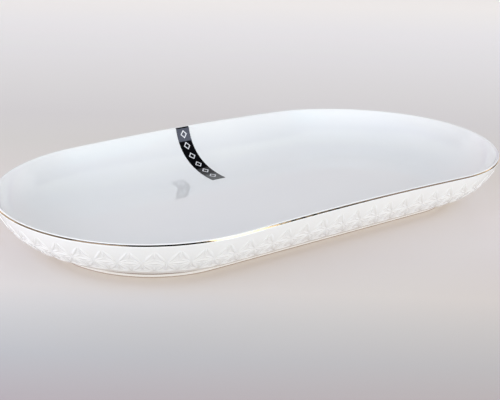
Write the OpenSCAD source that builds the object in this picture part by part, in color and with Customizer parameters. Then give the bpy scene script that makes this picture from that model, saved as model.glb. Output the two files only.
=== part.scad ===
// Oval china serving platter: a low porcelain dish with straight long sides and round ends.
// A moulded hemp-leaf relief runs round the outside of the wall, the lip is gilded, and a label
// is stuck down the inside of one long wall. The length runs along X, and the origin is the
// middle of the standing face, at table height.

/* [Platter] */
// Overall length
platter_length = 360; // [300:5:420]
// Overall width: the ends are half circles of this diameter
platter_width = 188.2; // [170:0.2:210]
// Height of the lip above the table
platter_height = 35.4; // [32:0.2:42]
// Radius of the rounded lip
lip_r = 1.4; // [1.2:0.05:1.8]

/* [Wall] */
// Distance in from the lip at which the outside of the wall meets the foot
wall_run = 31.5; // [28:0.1:33]
// Distance in from the lip at which the inside of the wall meets the flat well
well_run = 48; // [44:0.5:52]
// Lean of the outside of the wall just below the lip, from upright
outer_lean = 19; // [10:0.5:22]
// Lean of the inside of the wall just below the lip, from upright
inner_lean = 15; // [10:0.5:20]
// How far the outside of the wall keeps close to that lean before it turns in
outer_belly = 25; // [18:0.5:27]
// Thickness of the floor of the well
floor_thickness = 5.2; // [4:0.1:6]

/* [Foot] */
// Height of the foot ring, and depth of the hollow inside it
foot_height = 3.8; // [3:0.1:5]
// Distance in from the lip to the outer edge of the standing face
foot_inset = 33.6; // [32:0.1:35]
// How far the wall's line carries on into the foot, as a share of the lower half of that line
foot_blend = 0.06; // [0.02:0.01:0.2]
// Width of the standing face
foot_width = 2.8; // [2:0.1:4]
// Height of the unglazed band on the standing face
bare_height = 0.5; // [0.3:0.1:1]
// How far the root of the foot spreads inwards under the well
foot_flare = 2.4; // [1:0.1:4]

/* [Relief] */
// Number of stars round the wall
stars = 68; // [50:2:80]
// Height of the top row of stars
top_row_z = 31; // [28:0.1:31.5]
// Height of the middle row of stars
middle_row_z = 21; // [20:0.1:24]
// Height of the bottom row of stars
bottom_row_z = 12.6; // [12:0.1:17]
// Distance from the middle of a long side to the nearest star of the middle row
star_offset = 2.3; // [0:0.1:6]
// Width of a leaf as a share of its length
leaf_slimness = 0.19; // [0.12:0.01:0.22]
// Height of a leaf's ridge above the wall
leaf_height = 0.6; // [0.3:0.05:1]

/* [Gilding] */
// Thickness of the gold, which lies flush in the lip
gold_thickness = 0.12; // [0.08:0.01:0.3]
// Angle above the horizontal at which the gold starts, on the outside of the lip
gold_from = 5; // [-20:1:20]
// Angle above the horizontal at which the gold ends, near the top of the lip
gold_to = 70; // [40:1:80]

/* [Label] */
// Width of the label
label_width = 11.2; // [8:0.1:14]
// Distance of the label's middle line from the middle of the platter
label_x = 0.7; // [-20:0.1:20]
// Height of the label's top edge
label_top_z = 34.2; // [30:0.1:34.2]
// Distance from the long middle line to the label's lower end
label_end_y = 48.5; // [47.5:0.5:60]
// Thickness of the label's film
film = 0.2; // [0.1:0.05:0.4]
// Number of printed marks
marks = 6; // [2:1:8]
// Length of a printed mark down the label
mark_length = 5; // [2:0.1:5.8]
// Width of a printed mark across the label
mark_width = 4.4; // [2:0.1:7]
// Place of the first printed mark, as a share of the label's length from its top
mark_from = 0.072; // [0.06:0.002:0.1]
// Place of the last printed mark, as a share of the label's length from its top
mark_to = 0.852; // [0.6:0.002:0.94]
// Thickness of the printed ink
ink = 0.1; // [0.05:0.05:0.2]

/* [Hidden] */
$fn = 96;

porcelain = [0.95, 0.96, 0.97];
bisque = [0.86, 0.84, 0.80];
gold = [0.80, 0.62, 0.30];
film_black = [0.03, 0.03, 0.035];
ink_white = [0.92, 0.92, 0.92];

// The outline is a straight spine with a half circle about each end of it. Sections are drawn
// with X as the distance out from that spine and Y as the height above the table.
half_width = platter_width / 2;
spine_half = platter_length / 2 - half_width;
floor_z = foot_height + floor_thickness;
well_r = half_width - well_run;
joint_drop = 1;
curve_steps = 24;
away = 3 * platter_width;

// Points and unit normals of a quadratic curve
function curve_at(c, t) = (1 - t) * (1 - t) * c[0] + 2 * t * (1 - t) * c[1] + t * t * c[2];
function curve_slope(c, t) = (1 - t) * (c[1] - c[0]) + t * (c[2] - c[1]);
function turned(v) = [-v.y, v.x] / norm(v);
function curve_points(c, lift = 0) =
    [for (i = [0:curve_steps]) curve_at(c, i / curve_steps)
                               + lift * turned(curve_slope(c, i / curve_steps))];
function backwards(list) = [for (i = [len(list) - 1:-1:0]) list[i]];

// The middle of the lip, and the outer and inner faces of the wall, which both leave the lip
// along its tangent
lip_middle = [half_width - lip_r, platter_height - lip_r];
outer_start = lip_middle + lip_r * [cos(outer_lean), -sin(outer_lean)];
outer_curve = [outer_start,
               outer_start - outer_belly * [sin(outer_lean), cos(outer_lean)],
               [half_width - wall_run, foot_height]];
inner_start = lip_middle + lip_r * [-cos(inner_lean), sin(inner_lean)];
inner_curve = [inner_start,
               [inner_start.x - (inner_start.y - floor_z) * tan(inner_lean), floor_z],
               [well_r, floor_z]];

// The outer edge of the standing face, and the curve that carries the wall down into it
foot_r = half_width - foot_inset;
foot_curve = [outer_curve[2],
              outer_curve[2] + (outer_curve[2] - outer_curve[1]) * foot_blend,
              [foot_r + 0.1, bare_height]];

// A section swept all round the outline
module sweep() {
    for (end = [-1, 1])
        translate([end * spine_half, 0, 0]) rotate([0, 0, -90 * end])
            rotate_extrude(angle = 180) children();
    for (side = [0, 1])
        mirror([0, side, 0]) translate([-spine_half, 0, 0]) rotate([90, 0, 90])
            linear_extrude(2 * spine_half) children();
}

// The outline itself, at a given distance from the spine
module outline(r) {
    for (end = [-1, 1]) translate([end * spine_half, 0]) circle(r);
    square([2 * spine_half, 2 * r], center = true);
}

module above(z) { translate([0, z]) square([away, away]); }

// Section of the wall from the edge of the well up to the lip
module wall_section() {
    polygon(concat(curve_points(outer_curve), [[well_r, foot_height]],
                   backwards(curve_points(inner_curve))));
    translate(lip_middle) circle(lip_r);
}

// Section of the gold: a thin crescent on the outer shoulder of the lip
module gold_section() {
    translate(lip_middle) intersection() {
        difference() {
            circle(lip_r);
            circle(lip_r - gold_thickness);
        }
        polygon([[0, 0], for (turn = [gold_from, (gold_from + gold_to) / 2, gold_to])
                             2 * lip_r * [cos(turn), sin(turn)]]);
    }
}

module well_floor() {
    color(porcelain) translate([0, 0, foot_height])
        linear_extrude(floor_thickness) outline(well_r);
}

module side_wall() {
    color(porcelain) sweep() difference() {
        wall_section();
        above(lip_middle.y - joint_drop);
    }
}

module rim_lip() {
    color(porcelain) sweep() difference() {
        intersection() {
            wall_section();
            above(lip_middle.y - joint_drop);
        }
        gold_section();
    }
}

module rim_gilding() {
    color(gold) sweep() gold_section();
}

module foot_ring() {
    inner_r = foot_r - foot_width;
    color(porcelain) sweep() polygon(concat(
        curve_points(foot_curve),
        [[inner_r - 0.1, bare_height],
         [inner_r - foot_flare / 3, foot_height * 0.7],
         [inner_r - foot_flare, foot_height]]));
}

module bare_foot_band() {
    inner_r = foot_r - foot_width;
    corner = bare_height * 0.4;
    color(bisque) sweep() polygon([
        [inner_r - 0.1, bare_height], [inner_r - 0.1, corner], [inner_r + corner, 0],
        [foot_r - corner, 0], [foot_r + 0.1, corner], [foot_r + 0.1, bare_height]]);
}

// The relief is a lattice of triangles. Each edge is one leaf, and three more leaves run from
// the middle of each triangle to its corners. A place on the lattice is [star, row], with star
// counted round the wall and row as the place down the outer curve.
lattice_r = half_width - 5.5;
end_run = PI * lattice_r;
full_run = 4 * spine_half + 2 * end_run;
tip_gap = 0.04;
leaf_sink = 0.15;

// Place on the outer curve at a given height
function row_at(z) =
    let (a = outer_curve[0].y - 2 * outer_curve[1].y + outer_curve[2].y,
         b = 2 * (outer_curve[1].y - outer_curve[0].y),
         c = outer_curve[0].y - z)
    (-b - sqrt(b * b - 4 * a * c)) / (2 * a);
rows = [row_at(top_row_z), row_at(middle_row_z), row_at(bottom_row_z)];

// Point on the outline from a distance round it, starting at the middle of the -Y side
function on_outline(run, r, z) =
    run < spine_half ? [run, -r, z]
    : run < spine_half + end_run ? about_end(1, run - spine_half, r, z)
    : run < 3 * spine_half + end_run ? [2 * spine_half + end_run - run, r, z]
    : run < 3 * spine_half + 2 * end_run
        ? about_end(-1, run - 3 * spine_half - end_run, r, z)
    : [run - full_run, -r, z];
function about_end(end, run, r, z) =
    let (turn = run / lattice_r * 180 / PI)
    [end * (spine_half + r * sin(turn)), -end * r * cos(turn), z];

// Point on the wall at a place on the lattice, lifted off the wall by a distance
function on_wall(place, lift = 0) =
    let (run = (place[0] * full_run / stars + star_offset + full_run) % full_run,
         p = curve_at(outer_curve, place[1])
             + lift * turned(curve_slope(outer_curve, place[1])))
    on_outline(run, p.x, p.y);

// A leaf: two tips, two shoulders sunk in the wall and a ridge point over the middle
module leaf(from, to) {
    tip_a = on_wall(from + (to - from) * tip_gap, -leaf_sink);
    tip_b = on_wall(to + (from - to) * tip_gap, -leaf_sink);
    middle = on_wall((from + to) / 2, -leaf_sink);
    ridge = on_wall((from + to) / 2, leaf_height);
    across = cross(ridge - middle, tip_b - tip_a) / norm(ridge - middle) * leaf_slimness / 2;
    polyhedron(points = [tip_a, middle - across, tip_b, middle + across, ridge],
               faces = [[0, 4, 1], [1, 4, 2], [2, 4, 3], [3, 4, 0], [0, 1, 2], [0, 2, 3]]);
}

// Corners of the triangles between one row and the next, pointing down or up
function shift(row) = row % 2 == 0 ? 0.5 : 0;
function row_place(star, row) = [star + shift(row), rows[row]];
function hanging(star, row) = [row_place(star, row), row_place(star + 1, row),
                               [star + shift(row) + 0.5, rows[row + 1]]];
function standing(star, row) = [row_place(star, row + 1), row_place(star + 1, row + 1),
                                [star + shift(row + 1) + 0.5, rows[row]]];

// The border is toothed: between the points of the top row, the wall is plain
module relief_edge_leaves() {
    color(porcelain) for (star = [0:stars - 1]) {
        for (row = [1:2]) leaf(row_place(star, row), row_place(star + 1, row));
        for (row = [0:1]) {
            corners = hanging(star, row);
            leaf(corners[0], corners[2]);
            leaf(corners[1], corners[2]);
        }
    }
}

module relief_spoke_leaves() {
    color(porcelain) for (star = [0:stars - 1])
        for (corners = [standing(star, 0), hanging(star, 1), standing(star, 1)]) {
            middle = (corners[0] + corners[1] + corners[2]) / 3;
            for (corner = corners) leaf(middle, corner);
        }
}

// A layer that lies on the inside of the wall, between two heights off it
module label_layer(low, high, width) {
    translate([label_x - width / 2, 0, 0]) rotate([90, 0, 90]) linear_extrude(width)
        intersection() {
            polygon(concat(curve_points(inner_curve, -low),
                           backwards(curve_points(inner_curve, -high))));
            translate([label_end_y, 0]) square([away, label_top_z]);
        }
}

// The inner curve by length instead of by its own parameter
function lengths(points, i = 0, sum = 0) =
    i >= len(points) ? []
    : let (now = sum + (i == 0 ? 0 : norm(points[i] - points[i - 1])))
      concat([[now, i / curve_steps]], lengths(points, i + 1, now));
inner_lengths = lengths(curve_points(inner_curve));
label_length = inner_lengths[curve_steps][0] - (label_end_y - well_r);

module label_strip() {
    color(film_black) label_layer(0, film, label_width);
}

// The printed marks: a row of plain lozenges
module label_marks() {
    lozenge = [[mark_length / 2, 0], [0, mark_width / 2],
               [-mark_length / 2, 0], [0, -mark_width / 2]];
    color(ink_white) intersection() {
        label_layer(film, film + ink, label_width);
        for (mark = [0:marks - 1]) {
            share = mark_from + (mark_to - mark_from) * mark / (marks - 1);
            t = lookup(label_length * share, inner_lengths);
            p = curve_at(inner_curve, t);
            slope = curve_slope(inner_curve, t);
            translate([label_x, p.x, p.y]) rotate([atan2(slope.y, slope.x), 0, 0])
                rotate([0, 0, 90]) linear_extrude(4 * mark_length, center = true)
                    polygon(lozenge);
        }
    }
}

well_floor();
side_wall();
rim_lip();
foot_ring();
bare_foot_band();
relief_edge_leaves();
relief_spoke_leaves();
rim_gilding();
label_strip();
label_marks();
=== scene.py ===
import math

import bmesh
import bpy
import numpy as np
from mathutils import Matrix, Vector


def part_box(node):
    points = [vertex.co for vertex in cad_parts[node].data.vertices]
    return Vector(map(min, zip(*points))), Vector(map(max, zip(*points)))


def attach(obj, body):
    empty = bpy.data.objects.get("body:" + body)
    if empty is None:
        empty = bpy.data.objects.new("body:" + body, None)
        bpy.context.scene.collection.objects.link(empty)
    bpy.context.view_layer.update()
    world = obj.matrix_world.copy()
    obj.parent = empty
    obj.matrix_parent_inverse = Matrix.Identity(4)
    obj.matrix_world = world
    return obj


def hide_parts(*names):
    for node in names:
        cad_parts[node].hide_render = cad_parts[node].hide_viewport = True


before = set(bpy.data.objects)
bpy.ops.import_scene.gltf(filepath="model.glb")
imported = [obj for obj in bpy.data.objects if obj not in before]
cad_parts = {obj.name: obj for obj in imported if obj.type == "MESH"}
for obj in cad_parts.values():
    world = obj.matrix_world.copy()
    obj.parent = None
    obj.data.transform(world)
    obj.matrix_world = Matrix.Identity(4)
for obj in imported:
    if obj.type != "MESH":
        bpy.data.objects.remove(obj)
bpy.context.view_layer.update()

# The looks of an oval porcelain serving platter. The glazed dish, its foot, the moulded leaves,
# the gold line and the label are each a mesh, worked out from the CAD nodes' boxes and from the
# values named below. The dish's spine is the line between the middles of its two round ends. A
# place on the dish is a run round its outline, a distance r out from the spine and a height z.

MM = 0.001

# ---------------------------------------------------------------- dimensions from the CAD model
HALF_LENGTH, HALF_WIDTH, LIP_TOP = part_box("rim_lip")[1]
SPINE_HALF = HALF_LENGTH - HALF_WIDTH
WELL_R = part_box("well_floor")[1].y
FLOOR_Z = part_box("well_floor")[1].z
FOOT_ROOT_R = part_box("foot_ring")[1].y
FOOT_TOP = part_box("foot_ring")[1].z
FOOT_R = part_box("bare_foot_band")[1].y
BAND_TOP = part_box("bare_foot_band")[1].z
LABEL_LOW, LABEL_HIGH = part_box("label_strip")

# ---------------------------------------------------------------- dimensions of the dish
LIP_R = 1.4 * MM
OUTER_LEAN = math.radians(19)
INNER_LEAN = math.radians(15)
OUTER_BELLY = 25 * MM

# The lip isn't quite level: it drops from the middle of the long sides to the round ends
ARCH_SQUARE = -7.1 * MM
ARCH_FOURTH = 4.3 * MM

# The lip has two flatter shoulders. Each is given by the turn of the lip's normal at its middle,
# measured up from straight outwards, and by the turn over which it spreads to either side. The
# outer one also has the length that it adds.
SHOULDER_TURN = math.radians(27)
SHOULDER_SPREAD = math.radians(7)
SHOULDER_LENGTH = 1.05 * MM
INNER_SHOULDER_TURN = math.radians(133)
INNER_SHOULDER_SPREAD = math.radians(16)

# The foot. Its outer face first carries on in the wall's direction, for this share of the curve's
# last leg. Its inner face flares inwards as it rises, and bends at these shares of flare and height.
FOOT_WIDTH = 3 * MM
FOOT_CARRY = 0.06
FOOT_FLARE = 2.4 * MM
FOOT_BEND_IN, FOOT_BEND_UP = 0.25, 0.95
BAND_CORNER = 0.6 * BAND_TOP

# The gold line on the outer shoulder: the turns of the lip's normal between which its base lies,
# and the turn by which its face is narrower at each edge
GOLD_START = math.radians(20)
GOLD_END = math.radians(34.5)
GOLD_BEVEL = 0.03
GOLD_PROUD = 0.04 * MM
GOLD_SUNK = 0.1 * MM

# The relief's lattice of stars, and its leaves. A leaf stops short of both its ends by a share of
# its length, and its width is a share of its length too. Its exponents shape it: with a larger one
# its plan is more pointed, its ridge falls away earlier and its section is flatter on top.
STARS = 68
ROW_HEIGHTS = (31 * MM, 21 * MM, 12.6 * MM)
STAR_OFFSET = 2.3 * MM
LATTICE_R = HALF_WIDTH - 5.5 * MM
END_RUN = math.pi * LATTICE_R
FULL_RUN = 4 * SPINE_HALF + 2 * END_RUN
LEAF_TIP_GAP = 0.06
LEAF_SINK = 0.06 * MM
LEAF_PLAN = 1.1
LEAF_RIDGE = 0.5
LEAF_SECTION = 1.25
EDGE_LEAF_WIDTH, EDGE_LEAF_HEIGHT = 0.20, 0.45 * MM
SPOKE_LEAF_WIDTH, SPOKE_LEAF_HEIGHT = 0.22, 0.42 * MM

# The label, which starts on the lip's inner shoulder and is narrower than the CAD's by a margin on
# each side, and the lozenges printed on it. Their places are shares of its length, and their line
# is a share of their own size.
LABEL_FIRST_TURN = math.radians(100)
LABEL_OVER_LIP = 1.2 * MM
LABEL_SLANT = 0.6 * MM
LABEL_MARGIN = 0.2 * MM
FILM_THICKNESS = 0.2 * MM
FILM_BEVEL = 0.08 * MM
MARKS = 6
MARK_FIRST, MARK_PITCH = 0.072, 0.156
MARK_HALF_LONG = 3.0 * MM
MARK_HALF_WIDE = 2.7 * MM
MARK_LINE = 0.34
INK_LOW, INK_HIGH = 0.17 * MM, 0.28 * MM

# How finely the meshes are divided
LIP_PROFILE_STEPS = 721
SIDE_STEPS, FOOT_SIDE_STEPS, END_STEPS = 60, 40, 90
WELL_STEPS, LEDGE_STEPS = 12, 6
INNER_STEPS, OUTER_STEPS, LIP_STEPS = 45, 49, 55
FOOT_OUTER_STEPS, FOOT_INNER_STEPS, CORNER_STEPS = 12, 10, 6
GOLD_TOP_STEPS, GOLD_UNDER_STEPS = 19, 9
EDGE_LEAF_STEPS, SPOKE_LEAF_STEPS = (9, 7), (8, 6)
LABEL_STEPS, LABEL_ACROSS_STEPS, MARK_SIDE_STEPS = 60, 13, 6
PATH_LIP_STEPS, PATH_WALL_STEPS = 40, 200
# The step over which a slope on the lattice is measured, and how close points are that get joined
SLOPE_STEP = 0.001
WELD_DISTANCE = 0.01 * MM


# ---------------------------------------------------------------- sections
def way(turn):
    """The unit vector at an angle, or at each of several."""
    return np.stack([np.cos(turn), np.sin(turn)], axis=-1)


def arc(middle, radius, start, end, steps):
    return middle + radius * way(np.linspace(start, end, steps))


def bezier(points, t):
    """Points at the parameters t on a quadratic curve."""
    a, b, c = np.array(points, float)
    t = np.asarray(t, float)[..., None]
    return (1 - t) ** 2 * a + 2 * t * (1 - t) * b + t * t * c


def bezier_direction(points, t):
    """The directions in which a quadratic curve runs at the parameters t."""
    a, b, c = np.array(points, float)
    t = np.asarray(t, float)[..., None]
    return (1 - t) * (b - a) + t * (c - b)


def left_normal(direction):
    """The unit normal on the left of a direction: outwards on the outer face of the wall."""
    turned = np.stack([-direction[..., 1], direction[..., 0]], axis=-1)
    return turned / np.linalg.norm(turned, axis=-1, keepdims=True)


def running_sum(values, turns):
    """The running integral of rows of values over the turns, from nought."""
    steps = np.diff(turns)[:, None] * (values[1:] + values[:-1]) / 2
    return np.concatenate([np.zeros((1, values.shape[1])), np.cumsum(steps, axis=0)])


def bell(turns, middle, spread):
    """A column of values over the turns that rise to 1 at the middle and fade out past the spread."""
    return np.exp(-((turns - middle) / spread) ** 2)[:, None]


def lip_profile():
    """The lip as a rounded roof: its normal turns from the outer wall's to the inner wall's, slowly
    on the outer shoulder that carries the gold and on the inner one, and faster between them. It is
    returned as the normal's turns and the points where it has them."""
    turns = np.linspace(OUTER_TURN, INNER_TURN, LIP_PROFILE_STEPS)
    ways = way(turns + math.pi / 2)
    outer = bell(turns, SHOULDER_TURN, SHOULDER_SPREAD)
    outer *= SHOULDER_LENGTH / running_sum(outer, turns)[-1]
    inner = bell(turns, INNER_SHOULDER_TURN, INNER_SHOULDER_SPREAD)
    wanted = INNER_START - OUTER_START - running_sum(outer * ways, turns)[-1]
    free = np.stack([running_sum(ways, turns)[-1], running_sum(inner * ways, turns)[-1]], axis=-1)
    plain, share = np.linalg.solve(free, wanted)
    return turns, OUTER_START + running_sum((outer + plain + share * inner) * ways, turns)


def lip_points(turns, lift):
    """Points on the lip at the given turns of its normal, lifted along it."""
    flat = np.stack([np.interp(turns, LIP_TURNS, LIP_PATH[:, k]) for k in (0, 1)], axis=-1)
    return flat + lift * way(turns)


OUTER_TURN = -OUTER_LEAN
INNER_TURN = math.pi - INNER_LEAN
LIP_MIDDLE = np.array([HALF_WIDTH - LIP_R, LIP_TOP - LIP_R])
OUTER_START = LIP_MIDDLE + LIP_R * way(OUTER_TURN)
INNER_START = LIP_MIDDLE + LIP_R * way(INNER_TURN)
LIP_TURNS, LIP_PATH = lip_profile()

OUTER_BEND = OUTER_START + OUTER_BELLY * way(OUTER_TURN - math.pi / 2)
OUTER_END = np.array([FOOT_ROOT_R, FOOT_TOP])
OUTER_CURVE = (OUTER_START, OUTER_BEND, OUTER_END)
INNER_BEND = (INNER_START[0] - (INNER_START[1] - FLOOR_Z) * math.tan(INNER_LEAN), FLOOR_Z)
INNER_CURVE = (INNER_START, INNER_BEND, (WELL_R, FLOOR_Z))
FOOT_CURVE = (OUTER_END, OUTER_END + (OUTER_END - OUTER_BEND) * FOOT_CARRY, (FOOT_R, BAND_TOP))


# ---------------------------------------------------------------- the outline
def arch(x, z):
    """The height to add to a point, which is below nought: the rim drops towards the round ends."""
    q = (x / HALF_LENGTH) ** 2
    share = np.clip((z - FLOOR_Z) / (LIP_TOP - FLOOR_Z), 0, 1)
    return (ARCH_SQUARE * q + ARCH_FOURTH * q * q) * share


def on_outline(run, r, z):
    """Points at a distance run round the outline, r out from its spine and z above the table."""
    run, r, z = np.broadcast_arrays(np.mod(run, FULL_RUN), r, z)
    ends = [0, SPINE_HALF, SPINE_HALF + END_RUN, 3 * SPINE_HALF + END_RUN,
            3 * SPINE_HALF + 2 * END_RUN, FULL_RUN]
    turn = np.interp(run, ends, [0, 0, math.pi, math.pi, 2 * math.pi, 2 * math.pi])
    spine_x = np.interp(run, ends, [0, SPINE_HALF, SPINE_HALF, -SPINE_HALF, -SPINE_HALF, 0])
    x = spine_x + r * np.sin(turn)
    return np.stack([x, -r * np.cos(turn), z + arch(x, z)], axis=-1)


def columns(side_steps):
    """Places round the outline: even steps along each long side and round each end."""
    side = 2 * SPINE_HALF * np.arange(side_steps) / side_steps
    end = END_RUN * np.arange(END_STEPS) / END_STEPS
    half = np.concatenate([side, 2 * SPINE_HALF + end])
    return np.concatenate([half, FULL_RUN / 2 + half]) - SPINE_HALF


# ---------------------------------------------------------------- mesh helpers
def new_piece(name, points, faces, material, crease=45):
    """A smooth shaded mesh object with one material, and sharp edges above the crease's degrees."""
    mesh = bpy.data.meshes.new(name)
    mesh.from_pydata([tuple(p) for p in points], [], faces)
    mesh.update()
    piece = bpy.data.objects.new(name, mesh)
    bpy.context.scene.collection.objects.link(piece)
    mesh.materials.append(material)
    for face in mesh.polygons:
        face.use_smooth = True
    mesh.set_sharp_from_angle(angle=math.radians(crease))
    return piece


def weld(piece):
    """Joins points that meet, and turns every face outwards."""
    shape = bmesh.new()
    shape.from_mesh(piece.data)
    bmesh.ops.remove_doubles(shape, verts=shape.verts, dist=WELD_DISTANCE)
    bmesh.ops.dissolve_degenerate(shape, dist=WELD_DISTANCE, edges=shape.edges)
    bmesh.ops.recalc_face_normals(shape, faces=shape.faces)
    shape.to_mesh(piece.data)
    shape.free()
    return piece


def swept(name, section, runs, material, closed=True):
    """A section of (r, z) points swept all round the outline. A section that isn't closed starts
    and ends on the spine, along which the sweep closes itself."""
    section = np.array(section, float)
    rows, cols = len(section), len(runs)
    points = on_outline(runs[:, None], section[None, :, 0], section[None, :, 1])
    faces = []
    for i in range(cols):
        here, there = i * rows, (i + 1) % cols * rows
        for j in range(rows if closed else rows - 1):
            k = (j + 1) % rows
            faces.append((here + j, there + j, there + k, here + k))
    return weld(new_piece(name, points.reshape(-1, 3), faces, material))


# ---------------------------------------------------------------- material helpers
# The part of a noise's 0 to 1 range over which a tint, or a polish, runs from one end to the other
TINT_SPAN = (0.3, 0.7)
POLISH_SPAN = (0.35, 0.65)
NOISE_DETAIL = 3
# The colour sockets of a Mix node: both ends and the result
MIX_A, MIX_B, MIX_RESULT = 6, 7, 2


def new_material(name, **sockets):
    made = bpy.data.materials.new(name)
    made.use_nodes = True
    for socket, value in sockets.items():
        shader_of(made).inputs[socket].default_value = value
    return made


def shader_of(made):
    return made.node_tree.nodes["Principled BSDF"]


def node_of(made, kind, **settings):
    """A new node of a material, with its own settings."""
    node = made.node_tree.nodes.new(kind)
    for key, value in settings.items():
        setattr(node, key, value)
    return node


def link(made, source, target):
    made.node_tree.links.new(source, target)


def object_place(made):
    return node_of(made, "ShaderNodeTexCoord").outputs["Object"]


def object_noise(made, scale, detail=NOISE_DETAIL):
    noise = node_of(made, "ShaderNodeTexNoise")
    noise.inputs["Scale"].default_value = scale
    noise.inputs["Detail"].default_value = detail
    link(made, object_place(made), noise.inputs["Vector"])
    return noise.outputs["Fac"]


def ramp(made, source, stops):
    """Turns a value into a colour, by (position, colour) stops."""
    node = node_of(made, "ShaderNodeValToRGB")
    elements = node.color_ramp.elements
    while len(elements) < len(stops):
        elements.new(0.5)
    for element, (position, colour) in zip(elements, stops):
        element.position = position
        element.color = (*colour, 1)
    link(made, source, node.inputs["Fac"])
    return node.outputs["Color"]


def map_range(made, source, from_span, to_span=(0, 1)):
    """A value carried from one span to another, and held at its ends."""
    node = node_of(made, "ShaderNodeMapRange")
    for socket, value in zip(("From Min", "From Max", "To Min", "To Max"), (*from_span, *to_span)):
        node.inputs[socket].default_value = value
    link(made, source, node.inputs["Value"])
    return node.outputs["Result"]


def along_direction(made, place, direction):
    """How far a place lies along a direction."""
    node = node_of(made, "ShaderNodeVectorMath", operation="DOT_PRODUCT")
    node.inputs[1].default_value = direction
    link(made, place, node.inputs[0])
    return node.outputs["Value"]


def uneven_tint(made, scale, low, high):
    """A colour that drifts between two tones over the surface."""
    tint = ramp(made, object_noise(made, scale), tuple(zip(TINT_SPAN, (low, high))))
    link(made, tint, shader_of(made).inputs["Base Color"])


def uneven_polish(made, scale, smooth, dull):
    """A roughness that drifts between two values over the surface."""
    drift = map_range(made, object_noise(made, scale), POLISH_SPAN, (smooth, dull))
    link(made, drift, shader_of(made).inputs["Roughness"])


def bump(made, source, strength, distance):
    node = node_of(made, "ShaderNodeBump")
    node.inputs["Strength"].default_value = strength
    node.inputs["Distance"].default_value = distance
    link(made, source, node.inputs["Height"])
    link(made, node.outputs["Normal"], shader_of(made).inputs["Normal"])


# ---------------------------------------------------------------- materials
# Painted shade in the crease under the wall: the brown at the top of the foot, how far below the top it
# starts, and where it is full
CREASE_START, CREASE_FULL = 1.9 * MM, 1.52 * MM
CREASE_SHADE_COLOUR = (0.16, 0.09, 0.07)


def glazed_porcelain(name="glazed_porcelain"):
    made = new_material(name, IOR=1.5)
    uneven_polish(made, scale=35, smooth=0.03, dull=0.06)
    uneven_tint(made, scale=14, low=(0.86, 0.865, 0.875), high=(0.885, 0.885, 0.885))
    bump(made, object_noise(made, scale=60, detail=2), strength=0.15, distance=0.1 * MM)
    return made


def bare_porcelain():
    # Its dark brown is a painted contact shadow along the line where the dish stands on the table
    made = new_material("bare_porcelain", Roughness=0.7, IOR=1.5)
    uneven_tint(made, scale=700, low=(0.30, 0.22, 0.19), high=(0.40, 0.31, 0.27))
    bump(made, object_noise(made, scale=3000), strength=0.5, distance=0.05 * MM)
    return made


def shaded_foot_glaze():
    """The same glaze, with painted shade: browner at the top of the foot, in the crease under the wall's
    overhang.
    """
    made = glazed_porcelain("shaded_foot_glaze")
    colour = shader_of(made).inputs["Base Color"]
    split = node_of(made, "ShaderNodeSeparateXYZ")
    link(made, object_place(made), split.inputs["Vector"])
    # Painted shade: the brown stands in for the shadow in the crease between wall and foot
    height = map_range(made, split.outputs["Z"], (FOOT_TOP - CREASE_START, FOOT_TOP - CREASE_FULL))
    mix = node_of(made, "ShaderNodeMix", data_type="RGBA")
    link(made, height, mix.inputs["Factor"])
    link(made, colour.links[0].from_socket, mix.inputs[MIX_A])
    mix.inputs[MIX_B].default_value = (*CREASE_SHADE_COLOUR, 1)
    link(made, mix.outputs[MIX_RESULT], colour)
    return made


def fired_gold():
    made = new_material("fired_gold", Metallic=1.0)
    uneven_polish(made, scale=260, smooth=0.08, dull=0.18)
    uneven_tint(made, scale=120, low=(0.84, 0.65, 0.42), high=(0.88, 0.70, 0.47))
    return made


def label_film():
    made = new_material("label_film", IOR=1.5)
    uneven_polish(made, scale=150, smooth=0.04, dull=0.08)
    uneven_tint(made, scale=300, low=(0.003, 0.003, 0.004), high=(0.006, 0.006, 0.007))
    return made


def label_ink():
    made = new_material("label_ink")
    uneven_polish(made, scale=700, smooth=0.35, dull=0.45)
    uneven_tint(made, scale=900, low=(0.72, 0.72, 0.74), high=(0.82, 0.82, 0.83))
    return made


PORCELAIN = glazed_porcelain()
SHADED_FOOT_GLAZE = shaded_foot_glaze()
SHADOWED_BISQUE = bare_porcelain()
GOLD = fired_gold()
FILM = label_film()
INK = label_ink()


# ---------------------------------------------------------------- the dish
def make_well():
    """The flat floor: its face in the well, its underside inside the foot, and its hidden rim."""
    out = np.linspace(0, WELL_R, WELL_STEPS)
    section = [(r, FLOOR_Z) for r in out] + [(r, FOOT_TOP) for r in out[::-1]]
    return swept("well", section, columns(SIDE_STEPS), PORCELAIN, closed=False)


def make_wall():
    """The curved wall: its inner face, its outer face and the underside that stands on the foot."""
    inner = bezier(INNER_CURVE, np.linspace(1, 0, INNER_STEPS))
    outer = bezier(OUTER_CURVE, np.linspace(0, 1, OUTER_STEPS))
    under = [(r, FOOT_TOP) for r in np.linspace(FOOT_ROOT_R, WELL_R, LEDGE_STEPS)[1:]]
    return swept("wall", np.concatenate([inner, outer, under]), columns(SIDE_STEPS), PORCELAIN)


def make_lip():
    section = lip_points(np.linspace(INNER_TURN, OUTER_TURN, LIP_STEPS), 0)
    return swept("lip", section, columns(SIDE_STEPS), PORCELAIN)


def make_foot():
    inner_r = FOOT_R - FOOT_WIDTH
    outer = bezier(FOOT_CURVE, np.linspace(0, 1, FOOT_OUTER_STEPS))
    bend = (inner_r - FOOT_FLARE * FOOT_BEND_IN, FOOT_TOP * FOOT_BEND_UP)
    inner_curve = ((inner_r, BAND_TOP), bend, (inner_r - FOOT_FLARE, FOOT_TOP))
    inner = bezier(inner_curve, np.linspace(0, 1, FOOT_INNER_STEPS))
    return swept("foot", np.concatenate([outer, inner]), columns(FOOT_SIDE_STEPS), SHADED_FOOT_GLAZE)


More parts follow.
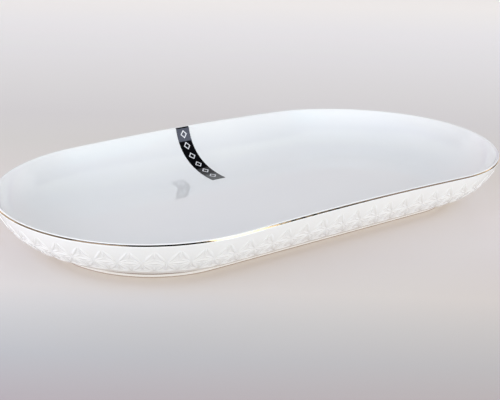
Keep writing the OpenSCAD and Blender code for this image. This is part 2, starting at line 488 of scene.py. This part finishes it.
def make_standing_band():
    """The unglazed face that the dish stands on, with its two rounded corners."""
    inner_r = FOOT_R - FOOT_WIDTH
    quarter = math.pi / 2
    section = np.concatenate([
        [(inner_r, BAND_TOP)],
        arc((inner_r + BAND_CORNER, BAND_CORNER), BAND_CORNER, 2 * quarter, 3 * quarter, CORNER_STEPS),
        arc((FOOT_R - BAND_CORNER, BAND_CORNER), BAND_CORNER, -quarter, 0, CORNER_STEPS),
        [(FOOT_R, BAND_TOP)]])
    return swept("standing_band", section, columns(FOOT_SIDE_STEPS), SHADOWED_BISQUE)


def make_gold_line():
    top = np.linspace(GOLD_START + GOLD_BEVEL, GOLD_END - GOLD_BEVEL, GOLD_TOP_STEPS)
    under = np.linspace(GOLD_END, GOLD_START, GOLD_UNDER_STEPS)
    section = np.concatenate([lip_points(top, GOLD_PROUD), lip_points(under, -GOLD_SUNK)])
    return swept("gold_line", section, columns(SIDE_STEPS), GOLD)


# ---------------------------------------------------------------- the relief
def row_at(z):
    """The parameter down the outer curve at a height."""
    (_, z0), (_, z1), (_, z2) = OUTER_CURVE
    a, b, c = z0 - 2 * z1 + z2, 2 * (z1 - z0), z0 - z
    return (-b - math.sqrt(b * b - 4 * a * c)) / (2 * a)


ROWS = [row_at(z) for z in ROW_HEIGHTS]


def on_wall(star, row, lift=0.0):
    """Points on the outer face of the wall, at a star count round it and a place down its curve."""
    out = left_normal(bezier_direction(OUTER_CURVE, row))
    flat = bezier(OUTER_CURVE, row) + np.asarray(lift)[..., None] * out
    return on_outline(star * FULL_RUN / STARS + STAR_OFFSET, flat[..., 0], flat[..., 1])


def shift(row):
    """How far round a row's corners start: every other row is half a star further on."""
    return 0.5 if row % 2 == 0 else 0.0


def hanging(star, row):
    """A triangle of the lattice that points down, as three (star, row place) corners."""
    top = star + shift(row)
    return (top, ROWS[row]), (top + 1, ROWS[row]), (top + 0.5, ROWS[row + 1])


def standing(star, row):
    """A triangle that points up, between a row and the next one down."""
    low = star + shift(row + 1)
    return (low, ROWS[row + 1]), (low + 1, ROWS[row + 1]), (low + 0.5, ROWS[row])


def edges():
    """The lattice's edges. Its border is toothed: nothing joins the points of the top row."""
    for star in range(STARS):
        for row in (1, 2):
            yield (star + shift(row), ROWS[row]), (star + 1 + shift(row), ROWS[row])
        for row in (0, 1):
            a, b, c = hanging(star, row)
            yield a, c
            yield b, c


def spokes():
    """From the middle of each triangle to its corners. Nothing hangs from the top row."""
    for star in range(STARS):
        for corners in (standing(star, 0), hanging(star, 1), standing(star, 1)):
            middle = tuple(np.mean(corners, axis=0))
            for corner in corners:
                yield middle, corner


def leaf_measures(start, stop):
    """Each leaf's sideways direction, as the (star, row) steps in a metre of it, and its length."""
    star, row = ((start + stop) / 2).T
    here = on_wall(star, row)
    per_star = (on_wall(star + SLOPE_STEP, row) - here) / SLOPE_STEP
    per_row = (on_wall(star, row + SLOPE_STEP) - here) / SLOPE_STEP
    chord = on_wall(*stop.T) - on_wall(*start.T)
    side = np.cross(np.cross(per_star, per_row), chord)
    side /= np.linalg.norm(side, axis=1, keepdims=True)
    steps = [(side * per).sum(1) / (per ** 2).sum(1) for per in (per_star, per_row)]
    return np.stack(steps, axis=-1), np.linalg.norm(chord, axis=1)


def make_leaves(name, ends, width, height, steps):
    """Leaves between pairs of places on the wall: pointed in plan and rounded in section. The width
    is a share of a leaf's length, and the steps are those along it and across it."""
    along, across = steps
    start, stop = np.array(list(ends)).swapaxes(0, 1)
    sideways, length = leaf_measures(start, stop)
    s = np.linspace(LEAF_TIP_GAP, 1 - LEAF_TIP_GAP, along)[:, None]
    c = np.linspace(-1, 1, across)
    half = width * length[:, None, None] / 2 * (4 * s * (1 - s)) ** LEAF_PLAN * c
    middle = start[:, None, None] + (stop - start)[:, None, None] * s[..., None]
    star, row = np.moveaxis(middle + half[..., None] * sideways[:, None, None], -1, 0)
    u = np.linspace(0, 1, along)[:, None]
    crown = (4 * u * (1 - u)) ** LEAF_RIDGE * (1 - np.abs(c) ** LEAF_SECTION)
    points = on_wall(star, row, height * crown - LEAF_SINK * (1 - crown))
    grid = np.arange(along * across).reshape(along, across)
    quads = np.stack([grid[:-1, :-1], grid[:-1, 1:], grid[1:, 1:], grid[1:, :-1]], axis=-1)
    border = np.concatenate([grid[0], grid[1:, -1], grid[-1, -2::-1], grid[-2:0:-1, 0]])
    faces = []
    for base in range(0, len(start) * grid.size, grid.size):
        faces.extend((base + quads.reshape(-1, 4)).tolist())
        faces.append((base + border[::-1]).tolist())
    return new_piece(name, points.reshape(-1, 3), faces, PORCELAIN, crease=60)


# ---------------------------------------------------------------- the label
def label_path():
    """The line the label lies on: over the lip's inner shoulder and down the inner curve. It is
    returned as lengths from the inner curve's start, points and unit normals."""
    over = np.linspace(LABEL_FIRST_TURN, INNER_TURN, PATH_LIP_STEPS)[:-1]
    t = np.linspace(0, 1, PATH_WALL_STEPS)
    line = np.concatenate([lip_points(over, 0), bezier(INNER_CURVE, t)])
    normals = np.concatenate([way(over), -left_normal(bezier_direction(INNER_CURVE, t))])
    lengths = np.concatenate([[0], np.cumsum(np.linalg.norm(np.diff(line, axis=0), axis=1))])
    return lengths - lengths[len(over)], line, normals


PATH_LENGTHS, PATH_LINE, PATH_NORMALS = label_path()
LABEL_MIDDLE = (LABEL_LOW.x + LABEL_HIGH.x) / 2
LABEL_TOP = -LABEL_OVER_LIP
LABEL_END = np.interp(-LABEL_LOW.y, -PATH_LINE[:, 0], PATH_LENGTHS)
LABEL_LENGTH = LABEL_END - LABEL_TOP


def on_label(x, down, lift):
    """Points over the inside of the far wall: x along it, down along its curve from the lip."""
    at = [np.interp(down, PATH_LENGTHS, values) for values in (*PATH_LINE.T, *PATH_NORMALS.T)]
    x = x - LABEL_SLANT * (LABEL_END - down) / LABEL_LENGTH
    x, y, z = np.broadcast_arrays(x, at[0] + lift * at[2], at[1] + lift * at[3])
    return np.stack([x, y, z + arch(x, z)], axis=-1)


def make_label():
    """The film: a strip with bevelled long edges that follows the wall."""
    half = (LABEL_HIGH.x - LABEL_LOW.x) / 2 - LABEL_MARGIN
    top_x = np.linspace(-half, half, LABEL_ACROSS_STEPS)[1:-1]
    edge_x = np.array([half, half, half - FILM_BEVEL])
    edge_lift = np.array([0, FILM_THICKNESS - FILM_BEVEL, FILM_THICKNESS])
    cross_x = np.concatenate([-edge_x, top_x, edge_x[::-1]])
    cross_lift = np.concatenate([edge_lift, np.full(len(top_x), FILM_THICKNESS), edge_lift[::-1]])
    down = np.linspace(LABEL_TOP, LABEL_END, LABEL_STEPS)[:, None]
    points = on_label(LABEL_MIDDLE + cross_x, down, cross_lift)
    rows = len(cross_x)
    faces = []
    for base in range(0, (LABEL_STEPS - 1) * rows, rows):
        for j in range(rows):
            k = (j + 1) % rows
            faces.append((base + j, base + k, base + rows + k, base + rows + j))
    faces.append(range(rows - 1, -1, -1))
    faces.append(range((LABEL_STEPS - 1) * rows, LABEL_STEPS * rows))
    return weld(new_piece("label", points.reshape(-1, 3), faces, FILM, crease=30))


def lozenge():
    """Points round a lozenge: each one's share of its half length, and of its half width."""
    corners = np.array([(1, 0), (0, 1), (-1, 0), (0, -1)])
    share = np.arange(MARK_SIDE_STEPS)[:, None] / MARK_SIDE_STEPS
    sides = zip(corners, np.roll(corners, -1, axis=0))
    return np.concatenate([a * (1 - share) + b * share for a, b in sides]).T


def make_marks():
    """Plain hollow lozenges printed down the label."""
    long_share, wide_share = lozenge()
    around = len(long_share)
    points, faces = [], []
    for mark in range(MARKS):
        centre = LABEL_LENGTH * (MARK_FIRST + MARK_PITCH * mark)
        out_low, out_high, in_low, in_high = (len(points) + ring * around for ring in range(4))
        for size in (1, 1 - MARK_LINE):
            x = LABEL_MIDDLE + wide_share * MARK_HALF_WIDE * size
            down = centre + long_share * MARK_HALF_LONG * size
            for lift in (INK_LOW, INK_HIGH):
                points.extend(on_label(x, down, lift))
        for a, b in ((out_low, out_high), (out_high, in_high), (in_high, in_low), (in_low, out_low)):
            for k in range(around):
                n = (k + 1) % around
                faces.append((a + k, a + n, b + n, b + k))
    return weld(new_piece("label_print", points, faces, INK, crease=30))


well = make_well()
wall = make_wall()
lip = make_lip()
foot = make_foot()
standing_band = make_standing_band()
gold_line = make_gold_line()
edge_leaves = make_leaves("edge_leaves", edges(), EDGE_LEAF_WIDTH, EDGE_LEAF_HEIGHT, EDGE_LEAF_STEPS)
spoke_leaves = make_leaves("spoke_leaves", spokes(), SPOKE_LEAF_WIDTH, SPOKE_LEAF_HEIGHT, SPOKE_LEAF_STEPS)
label = make_label()
label_print = make_marks()

for piece, slot, nodes in (
    (well, "glazed_porcelain", ("well_floor",)),
    (wall, "glazed_porcelain", ("side_wall",)),
    (lip, "glazed_porcelain", ("rim_lip",)),
    (foot, "glazed_porcelain", ("foot_ring",)),
    (standing_band, "bare_porcelain", ("bare_foot_band",)),
    (gold_line, "gold_line", ("rim_gilding",)),
    (edge_leaves, "glazed_porcelain", ("relief_edge_leaves",)),
    (spoke_leaves, "glazed_porcelain", ("relief_spoke_leaves",)),
    (label, "label_film", ("label_strip",)),
    (label_print, "label_ink", ("label_marks",)),
):
    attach(piece, "root")
    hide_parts(*nodes)


# ---------------------------------------------------------------- the table top
STAGE_REACH = 6.0
STAGE_RINGS, STAGE_SECTORS = 24, 96
# The table's own glow: painted light that lifts and warms the shade around the dish
FLOOR_GLOW = (0.395, 0.310, 0.218)
# The camera's level line of sight, from the near side to the far one, and its left to right
VIEW_ALONG = (0.6275, 0.7786, 0)
VIEW_ACROSS = (0.7786, -0.6275, 0)
# Painted shade: the table darkens by this share for each metre to the right: not at all beyond the first
# of these distances along, and in full nearer than the second
FLOOR_TILT = 0.9
FLOOR_TILT_SPAN = (-0.05, -0.12)
# Distance along, and the table's colour there: painted light and shade along the line of sight
FLOOR_PAINTED_TONES = (
    (-1.20, (0.35, 0.40, 0.46)),
    (-0.50, (0.30, 0.36, 0.43)),
    (-0.29, (0.01, 0.05, 0.18)),
    (-0.26, (0.01, 0.05, 0.18)),
    (-0.21, (0.05, 0.15, 0.28)),
    (-0.17, (0.15, 0.24, 0.35)),
    (-0.13, (0.27, 0.33, 0.42)),
    (-0.08, (0.26, 0.32, 0.43)),
    (0.00, (0.29, 0.35, 0.46)),
    (0.15, (0.18, 0.30, 0.41)),
    (0.23, (0.18, 0.31, 0.45)),
    (0.34, (0.27, 0.42, 0.56)),
    (0.47, (0.37, 0.54, 0.70)),
    (0.64, (0.50, 0.70, 0.88)),
    (0.83, (0.67, 0.88, 1.00)),
)


def studio_floor():
    """A table top with light and shade painted along the camera's level line of sight, and painted shade
    on its near part towards the right. About half of its brightness is a glow of its own, painted light
    that lifts the shade near the dish."""
    made = new_material("studio_floor", Roughness=0.3, IOR=1.5)
    shader = shader_of(made)
    place = object_place(made)
    along = along_direction(made, place, VIEW_ALONG)
    across = along_direction(made, place, VIEW_ACROSS)
    first, last = FLOOR_PAINTED_TONES[0][0], FLOOR_PAINTED_TONES[-1][0]
    stops = [((distance - first) / (last - first), colour) for distance, colour in FLOOR_PAINTED_TONES]
    painted_tones = ramp(made, map_range(made, along, (first, last)), stops)
    tilt = node_of(made, "ShaderNodeMath", operation="MULTIPLY")
    link(made, across, tilt.inputs[0])
    link(made, map_range(made, along, FLOOR_TILT_SPAN), tilt.inputs[1])
    dim = node_of(made, "ShaderNodeMath", operation="MULTIPLY_ADD")
    link(made, tilt.outputs["Value"], dim.inputs[0])
    dim.inputs[1].default_value = -FLOOR_TILT
    dim.inputs[2].default_value = 1
    shade = node_of(made, "ShaderNodeVectorMath", operation="SCALE")
    link(made, painted_tones, shade.inputs[0])
    link(made, dim.outputs["Value"], shade.inputs["Scale"])
    link(made, shade.outputs["Vector"], shader.inputs["Base Color"])
    # Painted light: the table glows to lift the shade under the dish
    shader.inputs["Emission Color"].default_value = (*FLOOR_GLOW, 1)
    shader.inputs["Emission Strength"].default_value = 1
    return made


def make_stage():
    """A round table top, divided more finely near the dish."""
    radii = STAGE_REACH * (np.arange(1, STAGE_RINGS + 1) / STAGE_RINGS) ** 2
    rings = radii[:, None, None] * way(np.arange(STAGE_SECTORS) * 2 * math.pi / STAGE_SECTORS)
    points = [(0, 0, 0)] + [(x, y, 0) for x, y in rings.reshape(-1, 2)]
    faces = []
    for k in range(STAGE_SECTORS):
        n = (k + 1) % STAGE_SECTORS
        faces.append((0, 1 + k, 1 + n))
        for a in range(1, 1 + (STAGE_RINGS - 1) * STAGE_SECTORS, STAGE_SECTORS):
            b = a + STAGE_SECTORS
            faces.append((a + k, b + k, b + n, a + n))
    floor = new_piece("studio_floor", points, faces, studio_floor())


# ---------------------------------------------------------------- light and camera
WORLD_GLOW = (0.45, 0.39, 0.35)
# The camera's sensor width and lens in millimetres, its own right and up, and its place
CAMERA_SENSOR, CAMERA_LENS = 36, 80.87
CAMERA_RIGHT = Vector((0.78458, -0.61934, 0.02922))
CAMERA_UP = Vector((0.18242, 0.27562, 0.94380))
CAMERA_PLACE = Vector((-439.17, -531.63, 248.15)) * MM

CLAY = ("well", "wall", "lip", "foot", "standing_band", "edge_leaves", "spoke_leaves", "studio_floor")
METAL = ("gold_line",)
LABEL = ("label", "label_print")
EVERYTHING = CLAY + METAL + LABEL
# Name, azimuth from -Y towards +X, elevation, width and height in degrees, distance in metres,
# radiance, whether it shows in gloss or on matt surfaces, and the pieces it falls on
LIGHTS = (
    ("softbox", 23, 27, 28, 42, 0.75, (0.00, 0.37, 0.46), "gloss", CLAY),
    ("wrap_left", -100, 58, 60, 30, 1.7, (0.12, 0.12, 0.28), "gloss", CLAY),
    ("wrap_top", 141, 68, 60, 44, 1.7, (1.04, 1.07, 0.90), "gloss", CLAY),
    ("wrap_right", 85, 30, 40, 50, 1.7, (0.14, 0.16, 0.11), "gloss", CLAY),
    ("back_low", 141, 7, 120, 14, 3.0, (0.55, 0.45, 0.59), "gloss", CLAY),
    ("back_mid", 141, 21, 120, 14, 2.5, (0.86, 0.81, 0.83), "gloss", CLAY + METAL),
    ("back_high", 141, 37, 110, 18, 2.0, (0.89, 0.90, 0.91), "gloss", CLAY + METAL),
    ("key_on_gold", 15.5, 34, 28, 50, 0.75, (2.2, 2.2, 2.2), "gloss", METAL),
    ("gleam_side", 52.4, 20, 18.8, 25, 1.7, (0.30, 0.30, 0.38), "gloss", METAL),
    ("gleam_near", -72, 29, 31, 16, 1.7, (0.50, 0.50, 0.60), "gloss", METAL),
    ("gleam_left", -115, 19, 50, 22, 1.7, (0.25, 0.24, 0.26), "gloss", METAL),
    ("gleam_far", -150, 8, 26, 16, 1.7, (0.50, 0.47, 0.47), "gloss", METAL),
    ("gleam_right", 86, 25, 46, 40, 1.7, (0.5, 0.5, 0.5), "gloss", METAL),
    ("key_on_label", 38, 24.5, 40, 23, 1.7, (2.4, 2.65, 3.45), "gloss", LABEL),
    ("back_on_label", 141, 26, 60, 30, 1.7, (0.46, 0.46, 0.49), "gloss", LABEL),
    ("fill_front", 25, 14, 50, 18, 1.7, (3.49, 3.43, 3.63), "matt", EVERYTHING),
    ("fill_above", 25, 45, 50, 25, 1.7, (0.73, 1.25, 1.70), "matt", EVERYTHING),
    ("fill_left", -95, 18, 50, 24, 1.2, (3.19, 3.07, 3.44), "matt", EVERYTHING),
    ("fill_high", -95, 45, 50, 25, 1.7, (1.06, 1.54, 1.85), "matt", EVERYTHING),
    ("fill_low", -35, 5, 150, 9, 1.7, (3.45, 3.70, 3.35), "matt", EVERYTHING),
)


def make_light(name, azimuth, elevation, wide, high, distance, radiance, shows_in, falls_on):
    """A soft rectangular light facing the dish, given by the directions it fills as seen from there."""
    turn, rise = math.radians(azimuth), math.radians(elevation)
    toward = Vector((math.sin(turn) * math.cos(rise), -math.cos(turn) * math.cos(rise), math.sin(rise)))
    data = bpy.data.lights.new(name, "AREA")
    data.shape = "RECTANGLE"
    data.size = 2 * distance * math.tan(math.radians(wide) / 2)
    data.size_y = 2 * distance * math.tan(math.radians(high) / 2)
    data.energy = max(radiance) * math.pi * data.size * data.size_y
    data.color = [c / max(radiance) for c in radiance]
    lamp = bpy.data.objects.new(name, data)
    bpy.context.scene.collection.objects.link(lamp)
    lamp.location = toward * distance
    lamp.rotation_euler = toward.to_track_quat("Z", "Y").to_euler()
    lamp.visible_glossy = shows_in == "gloss"
    lamp.visible_diffuse = shows_in == "matt"
    lit = bpy.data.collections.new(name + "_falls_on")
    for piece in falls_on:
        lit.objects.link(bpy.data.objects[piece])
    lamp.light_linking.receiver_collection = lit


def make_world():
    """A dim even glow that lights matt surfaces and isn't mirrored in glossy ones."""
    world = bpy.data.worlds.new("studio")
    bpy.context.scene.world = world
    world.use_nodes = True
    back = world.node_tree.nodes["Background"]
    back.inputs["Color"].default_value = (*WORLD_GLOW, 1)
    back.inputs["Strength"].default_value = 1
    world.cycles_visibility.glossy = False


def make_camera():
    data = bpy.data.cameras.new("camera")
    data.sensor_width = CAMERA_SENSOR
    data.lens = CAMERA_LENS
    camera = bpy.data.objects.new("camera", data)
    bpy.context.scene.collection.objects.link(camera)
    turn = Matrix((CAMERA_RIGHT, CAMERA_UP, CAMERA_RIGHT.cross(CAMERA_UP))).transposed().to_4x4()
    camera.matrix_world = Matrix.Translation(CAMERA_PLACE) @ turn
    bpy.context.scene.camera = camera


make_stage()
make_world()
make_camera()
for light in LIGHTS:
    make_light(*light)
bpy.context.scene.view_settings.view_transform = "Standard"
